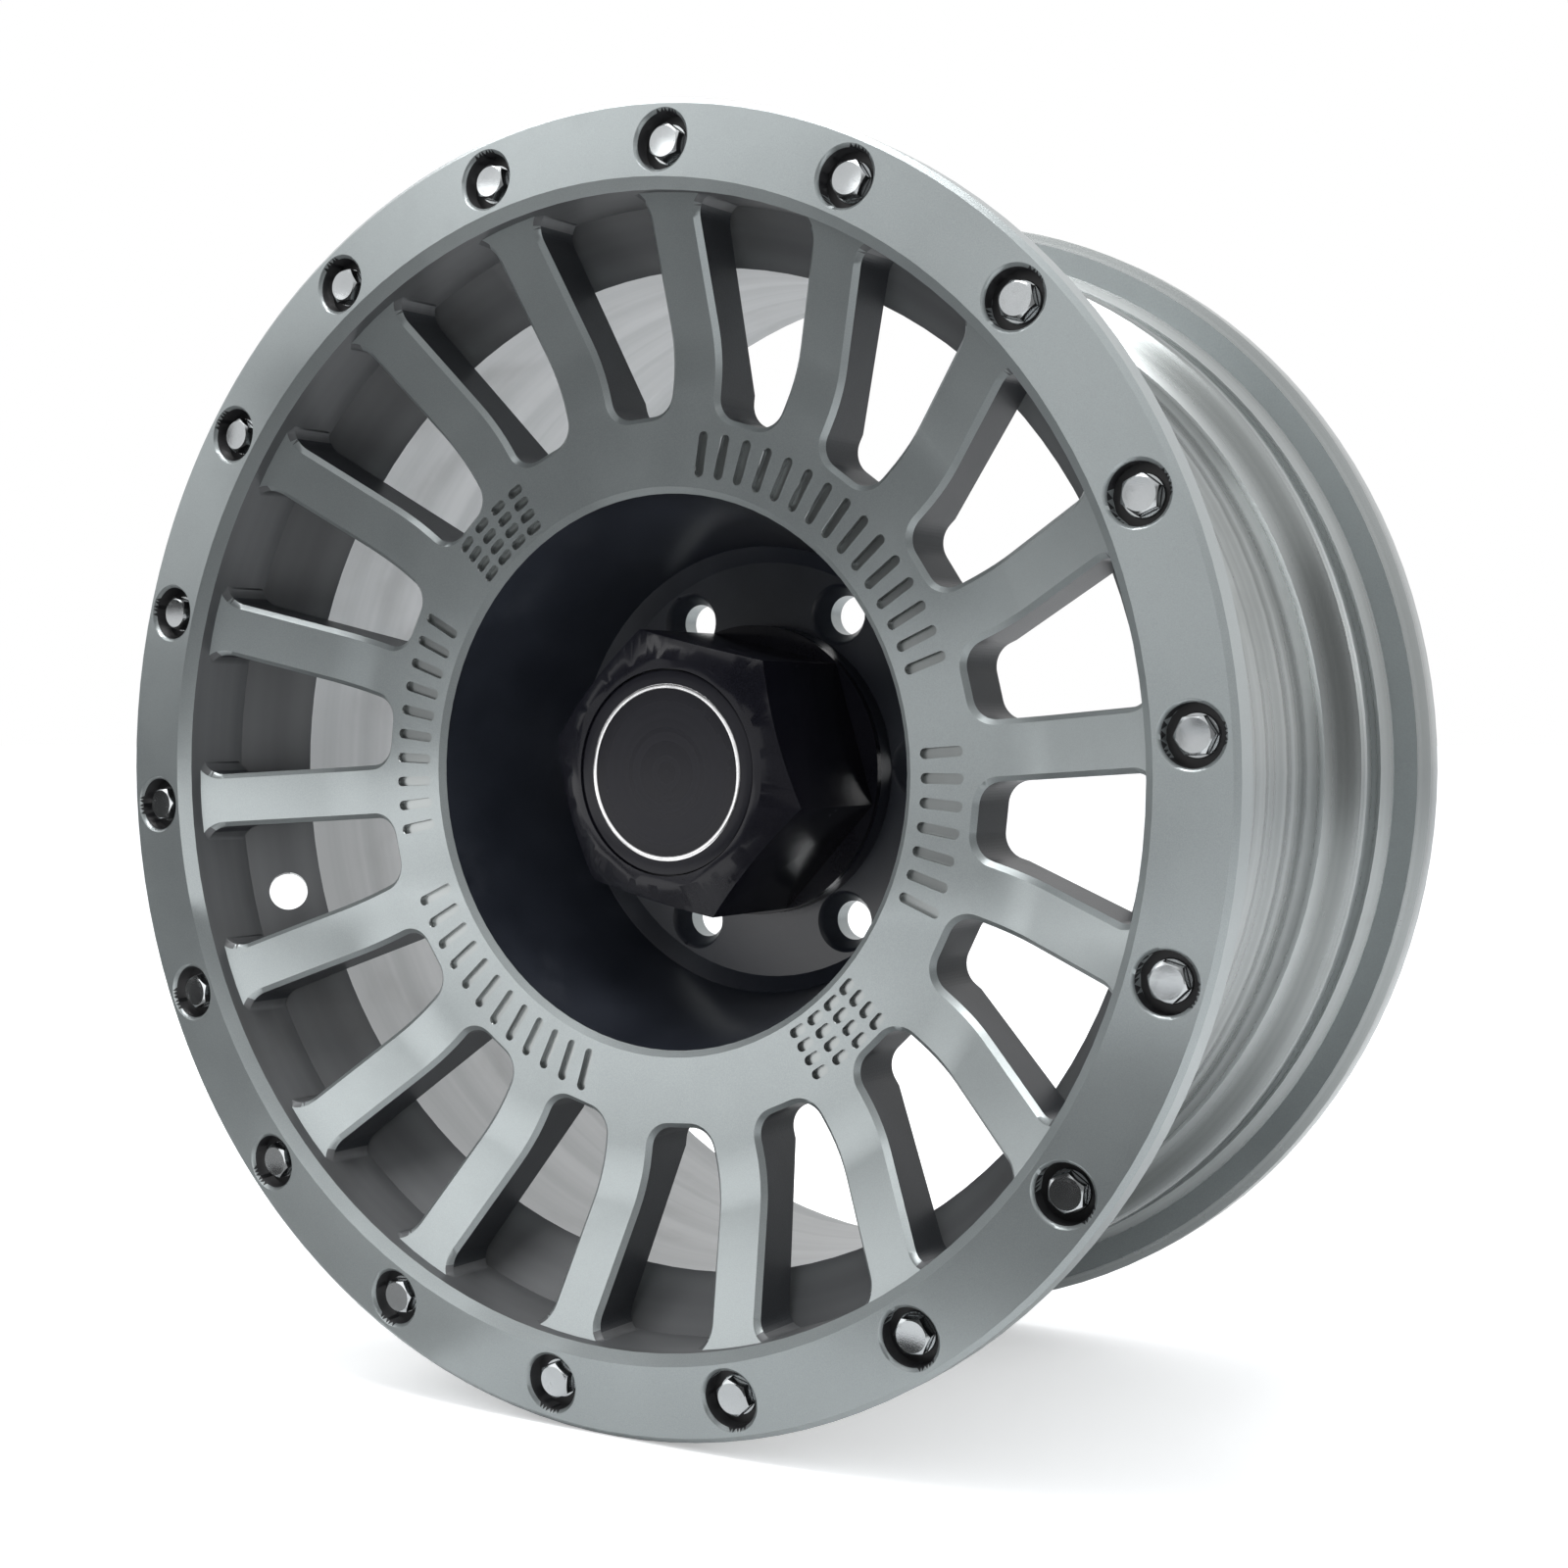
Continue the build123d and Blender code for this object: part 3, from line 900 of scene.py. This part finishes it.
wheelFinishes = {
    "face": satinSilver,
    "barrel": barrelSilver,
    "bowl": bowlBlack,
    # black paint and painted shade in the bolt pockets
    "pocket": pocketShadeAndBlack,
    # painted light on the deeper inside of the barrel
    "inside": insidePaintedLightSilver,
    # painted shade on the ring's inner wall and slope
    "wall": wallPaintedShade,
    # painted shade on the window walls
    "window": windowPaintedShade,
    # painted shade in the engraved slots
    "engraved": engravedPaintedShade,
}


def fromBolt(center, radius, places):
    # Distance in the ring's plane from the nearest bolt, in millimetres
    pitch = 360 / places["count"]
    clock = math.degrees(math.atan2(center.x, center.z)) - places["clock"]
    off = math.radians((clock + pitch / 2) % pitch - pitch / 2)
    return math.hypot(radius * math.sin(off), radius * math.cos(off) - places["circle"])


def zoneOf(center, normal, values):
    # Which finish a face of the wheel takes, by its place and the way it looks
    radius = math.hypot(center.x, center.z) / mm
    depth = (center.y - frontY) / mm
    outward = (normal.x * center.x + normal.z * center.z) / (radius * mm)
    # Bolt pockets: black paint, with painted shade
    if values["pocketTop"] < depth < values["pocketFloor"]:
        if fromBolt(center, radius, boltPlaces) < values["pocketRadius"]:
            return "pocket"
    if radius < values["bowlRadius"] and values["bowlTop"] < depth < values["bowlEnd"]:
        looksIn = outward < -values["bowlInward"] or normal.y < -values["bowlFacing"]
        if looksIn or radius < values["floorRadius"]:
            return "bowl"
    onRim = radius > values["barrelRadius"]
    if onRim and depth >= values["lipDepth"] and outward > values["barrelOutward"]:
        return "barrel"
    # Deeper inside of the barrel: its lighter finish is painted light
    if onRim and depth > values["insideTop"] and outward < -values["insideInward"]:
        return "inside"
    # Ring's inner wall and the slope behind it: dark finish, painted shade
    inWall = radius > values["wallRadius"] and depth > values["wallTop"]
    if inWall and outward < -values["wallInward"]:
        return "wall"
    # Window walls: near-black finish, painted shade
    inWindow = radius > values["windowInner"] and values["windowTop"] < depth < values["windowEnd"]
    if inWindow and abs(normal.y) < values["windowFacing"]:
        return "window"
    return "face"


# Normals: a face is turned where it looks no further round the axle than the tilt

normalSet = {"tilt": 0.05, "blend": 24.0}


def evenNormals(mesh, values):
    # Turned faces take the true normals of their cones and cylinders, the rest stay smooth by angle
    slopes = {}
    meeting = {}
    for face in mesh.polygons:
        center = face.center
        radius = math.hypot(center.x, center.z)
        around = (face.normal.x * center.z - face.normal.z * center.x) / radius
        if abs(around) < values["tilt"]:
            outward = (face.normal.x * center.x + face.normal.z * center.z) / radius
            slopes[face.index] = Vector((outward, face.normal.y)).normalized()
            for corner in face.vertices:
                meeting.setdefault(corner, []).append(face)
    normals = [corner.vector.copy() for corner in mesh.corner_normals]
    limit = math.cos(math.radians(values["blend"]))
    for index, slope in slopes.items():
        for loop in mesh.polygons[index].loop_indices:
            corner = mesh.loops[loop].vertex_index
            total = Vector((0.0, 0.0))
            for other in meeting[corner]:
                if slopes[other.index].dot(slope) > limit:
                    total += slopes[other.index] * other.area
            total.normalize()
            spot = mesh.vertices[corner].co
            radius = math.hypot(spot.x, spot.z)
            normals[loop] = Vector((total.x * spot.x / radius, total.y, total.x * spot.z / radius))
    mesh.normals_split_custom_set(normals)


def makeWheel(engraving, zones):
    # The zones are painted first, so that the cut keeps them and brings its own finish, a dark one that
    # is painted shade in the slots
    mesh = mergedCopy("wheel", "wheelBody")
    order = list(wheelFinishes)
    for finish in wheelFinishes.values():
        mesh.materials.append(finish)
    for face in mesh.polygons:
        face.material_index = order.index(zoneOf(face.center, face.normal, zones))
    body = newPiece("wheelBody", mesh)
    cut = body.modifiers.new("engrave", "BOOLEAN")
    cut.operation = "DIFFERENCE"
    cut.solver = "EXACT"
    cut.material_mode = "TRANSFER"
    cut.object = engraving
    engraved = plainMesh(body, "wheelBody")
    body.modifiers.clear()
    body.data = engraved
    bpy.data.objects.remove(engraving)
    shadeByAngle(engraved, normalSet["blend"])
    evenNormals(engraved, normalSet)
    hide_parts("wheel")
    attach(body, "root")
    return body


wheelBody = makeWheel(hubEngraving(hubSet), zoneSet)
print("wheel made, faces", len(wheelBody.data.polygons))


# Lip bolts: flanged hexagon heads on the floors of their pockets

boltHeadSet = {
    "faceDepth": 1.2,
    "lean": 5.27,
    "floor": 7.0,
    "flats": 12.0,
    "height": 5.4,
    "flangeRadius": 7.4,
    "flangeHeight": 0.9,
    "flangeRound": 0.3,
    "footRound": 0.25,
    "chamfer": 30.0,
    "topRadius": 5.6,
    "dishRadius": 4.3,
    "dishDepth": 0.35,
    "dishRim": 0.4,
    "dishFlat": 0.5,
    "segments": 48,
    "shadeAngle": 22.0,
}


def boltHead(values, places):
    # One head at clock angle 0, as rings of points up its side
    segments = values["segments"]
    apothem = values["flats"] / 2
    slope = math.tan(math.radians(values["chamfer"]))
    flange = values["flangeRadius"]
    rise = values["flangeHeight"]
    foot = values["footRound"]
    bend = values["flangeRound"]
    top = values["height"]
    dish = values["dishRadius"]
    deep = values["dishDepth"]
    profiles = []
    for step in range(segments):
        turn = 2 * math.pi * step / segments
        inSixth = (turn + math.pi / 6) % (math.pi / 3) - math.pi / 6
        reach = apothem / math.cos(inSixth)
        shoulder = top - (reach - values["topRadius"]) * slope
        profiles.append((
            (flange - foot, 0.0),
            (flange, foot),
            (flange, rise - bend),
            (flange - bend, rise),
            (reach + foot, rise),
            (reach, rise + foot),
            (reach, shoulder),
            (values["topRadius"], top),
            (dish, top - deep * values["dishRim"]),
            (dish * values["dishFlat"], top - deep),
        ))
    lean = math.radians(values["lean"])
    outward = Vector((0, -math.cos(lean), math.sin(lean)))
    side = Vector((1, 0, 0))
    upward = outward.cross(side)
    face = Vector((0, frontY + values["faceDepth"] * mm, places["circle"] * mm))
    floor = face - outward * values["floor"] * mm
    shape = bmesh.new()
    rings = []
    for level in range(len(profiles[0])):
        ring = []
        for step in range(segments):
            turn = 2 * math.pi * step / segments
            radius, rise = profiles[step][level]
            spot = side * math.cos(turn) * radius + upward * math.sin(turn) * radius + outward * rise
            ring.append(shape.verts.new(floor + spot * mm))
        rings.append(ring)
    for low, high in zip(rings, rings[1:]):
        for step in range(segments):
            after = (step + 1) % segments
            shape.faces.new((low[step], low[after], high[after], high[step]))
    shape.faces.new(list(reversed(rings[0])))
    shape.faces.new(rings[-1])
    bmesh.ops.recalc_face_normals(shape, faces=shape.faces)
    return meshFrom(shape, "boltHead")


def makeLipBolts(values, places):
    one = boltHead(values, places)
    count = places["count"]
    mesh = setRound("lipBoltHeads", one, count, places["clock"], 360 / count, boltPlate)
    shadeByAngle(mesh, values["shadeAngle"])
    heads = newPiece("lipBoltHeads", mesh)
    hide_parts("lip_bolts")
    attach(heads, "root")


makeLipBolts(boltHeadSet, boltPlaces)
print("lip bolts made")


# Centre cap with softened edges, its plain disc with a thin bright ring, and the split ring inside

capShapeSet = {"flat": 0.4, "edge": 0.7, "steps": 3, "angle": 28.0}
emblemShapeSet = {
    "front": 40.6,
    "thickness": 2.0,
    "radius": 38.8,
    "edge": 0.5,
    "edgeRound": 0.3,
    "dish": 0.5,
    "dishRing": 0.6,
    "dishShare": 0.4,
    "segments": 160,
    "shadeAngle": 25.0,
    "ringRadius": 32.6,
    "ringWidth": 1.7,
    "ringHeight": 0.35,
    "ringSink": 0.1,
    "ringEdgeDepth": 0.15,
    "ringEdgeWidth": 0.2,
    "ringShadeAngle": 50.0,
}


def makeCap(values):
    mesh = mergedCopy("center_cap", "capBody")
    mesh.materials.append(capGloss)
    shape = bmesh.new()
    shape.from_mesh(mesh)
    flat = math.radians(values["flat"])
    bmesh.ops.dissolve_limit(shape, angle_limit=flat, verts=shape.verts, edges=shape.edges)
    shape.to_mesh(mesh)
    shape.free()
    shadeByAngle(mesh, values["angle"])
    cap = newPiece("capBody", mesh)
    soften = cap.modifiers.new("soften", "BEVEL")
    soften.width = values["edge"] * mm
    soften.segments = values["steps"]
    soften.limit_method = "ANGLE"
    soften.angle_limit = math.radians(values["angle"])
    soften.harden_normals = True
    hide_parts("center_cap")
    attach(cap, "root")


def turnedMesh(name, profile, segments):
    # A closed (radius, depth) outline in millimetres, turned about the axle
    shape = bmesh.new()
    rings = []
    for step in range(segments):
        turn = 2 * math.pi * step / segments
        ring = []
        for radius, depth in profile:
            spot = (radius * math.sin(turn) * mm, frontY + depth * mm, radius * math.cos(turn) * mm)
            ring.append(shape.verts.new(spot))
        rings.append(ring)
    for step in range(segments):
        here = rings[step]
        after = rings[(step + 1) % segments]
        for corner in range(len(profile)):
            across = (corner + 1) % len(profile)
            shape.faces.new((here[corner], here[across], after[across], after[corner]))
    bmesh.ops.remove_doubles(shape, verts=shape.verts, dist=poleDistance)
    bmesh.ops.recalc_face_normals(shape, faces=shape.faces)
    return meshFrom(shape, name)


def makeEmblem(values):
    # The disc fills its recess, and the ring stands on its face
    front = values["front"]
    back = front + values["thickness"]
    radius = values["radius"]
    edge = values["edge"]
    bend = edge * values["edgeRound"]
    inner = values["ringRadius"] - values["ringWidth"] / 2
    outer = values["ringRadius"] + values["ringWidth"] / 2
    disc = turnedMesh(
        "emblemDisc",
        (
            (0.0, back),
            (radius, back),
            (radius, front + edge),
            (radius - bend, front + bend),
            (radius - edge, front),
            (outer, front),
            (inner, front),
            (inner * values["dishRing"], front + values["dish"] * values["dishShare"]),
            (0.0, front + values["dish"]),
        ),
        values["segments"],
    )
    disc.materials.append(emblemSatin)
    shadeByAngle(disc, values["shadeAngle"])
    plate = newPiece("emblemDisc", disc)
    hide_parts("cap_emblem_disc")
    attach(plate, "root")
    top = front - values["ringHeight"]
    sunk = front + values["ringSink"]
    side = top + values["ringEdgeDepth"]
    width = values["ringEdgeWidth"]
    trim = turnedMesh(
        "emblemRing",
        (
            (inner, sunk),
            (outer, sunk),
            (outer, side),
            (outer - width, top),
            (inner + width, top),
            (inner, side),
        ),
        values["segments"],
    )
    trim.materials.append(trimBright)
    shadeByAngle(trim, values["ringShadeAngle"])
    ring = newPiece("emblemRing", trim)
    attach(ring, "root")


makeCap(capShapeSet)
makeEmblem(emblemShapeSet)
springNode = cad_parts["cap_spring_ring"]
springNode.data.materials.clear()
springNode.data.materials.append(springSteel)
print("cap made")


scene.view_settings.view_transform = "Standard"
